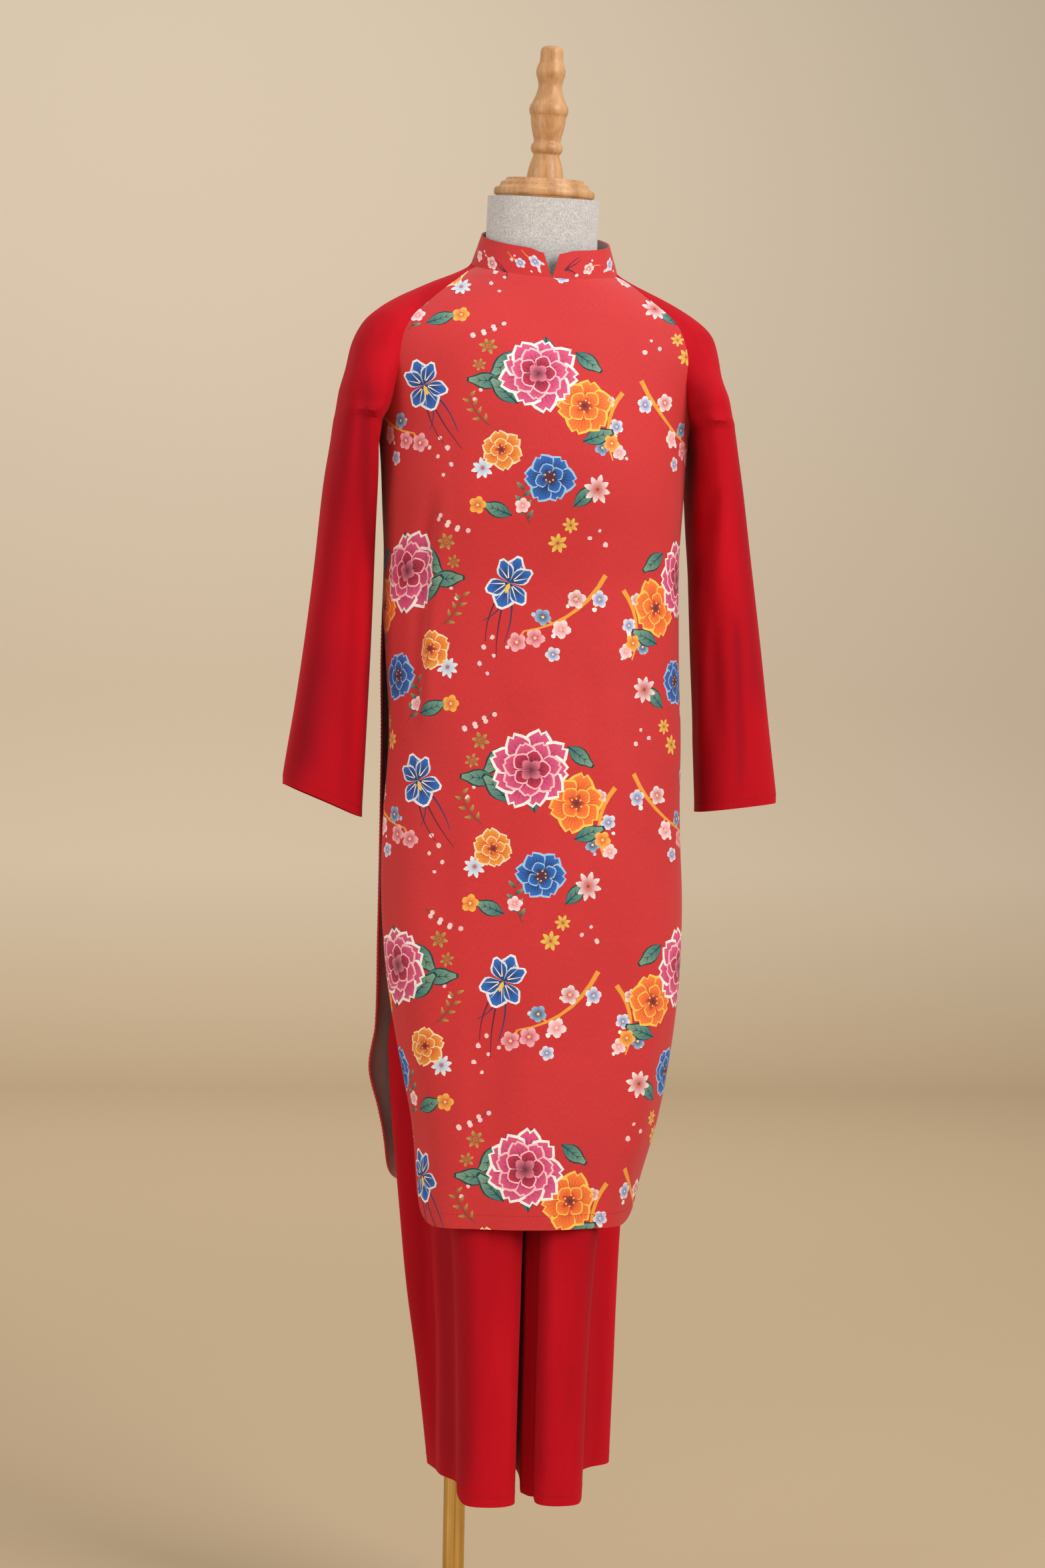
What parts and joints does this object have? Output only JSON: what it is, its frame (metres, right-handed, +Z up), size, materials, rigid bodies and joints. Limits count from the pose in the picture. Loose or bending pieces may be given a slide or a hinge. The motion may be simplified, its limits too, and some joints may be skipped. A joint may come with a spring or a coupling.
{
  "type": "ao dai on a dress form",
  "caption": "Floral ao dai with raglan velvet sleeves, stand collar and side slits over wide velvet trousers, on a limbless dress form with a pole and round base.",
  "frame": {"origin": "centre of the base's underside, on the pole's axis", "axes": "+Z up, the garment's front faces -Y, +X to the viewer's right"},
  "size_m": [0.504, 0.36, 1.6448],
  "materials": {
    "printed_cloth": "matt",
    "velvet": "velvet pile",
    "plush": "short plush",
    "beech": "satin lacquer",
    "brass": "brushed"
  },
  "bodies": {
    "root": {"front_panel": "printed_cloth", "back_panel_left": "printed_cloth", "back_panel_right": "printed_cloth", "collar_left": "printed_cloth", "collar_right": "printed_cloth", "sleeve_left": "velvet", "sleeve_right": "velvet", "leg_left": "velvet", "leg_right": "velvet", "waistband": "velvet", "form_torso": "plush", "neck_cap": "beech", "finial": "beech", "pole": "brass", "base": "brass"}
  },
  "joints": []
}
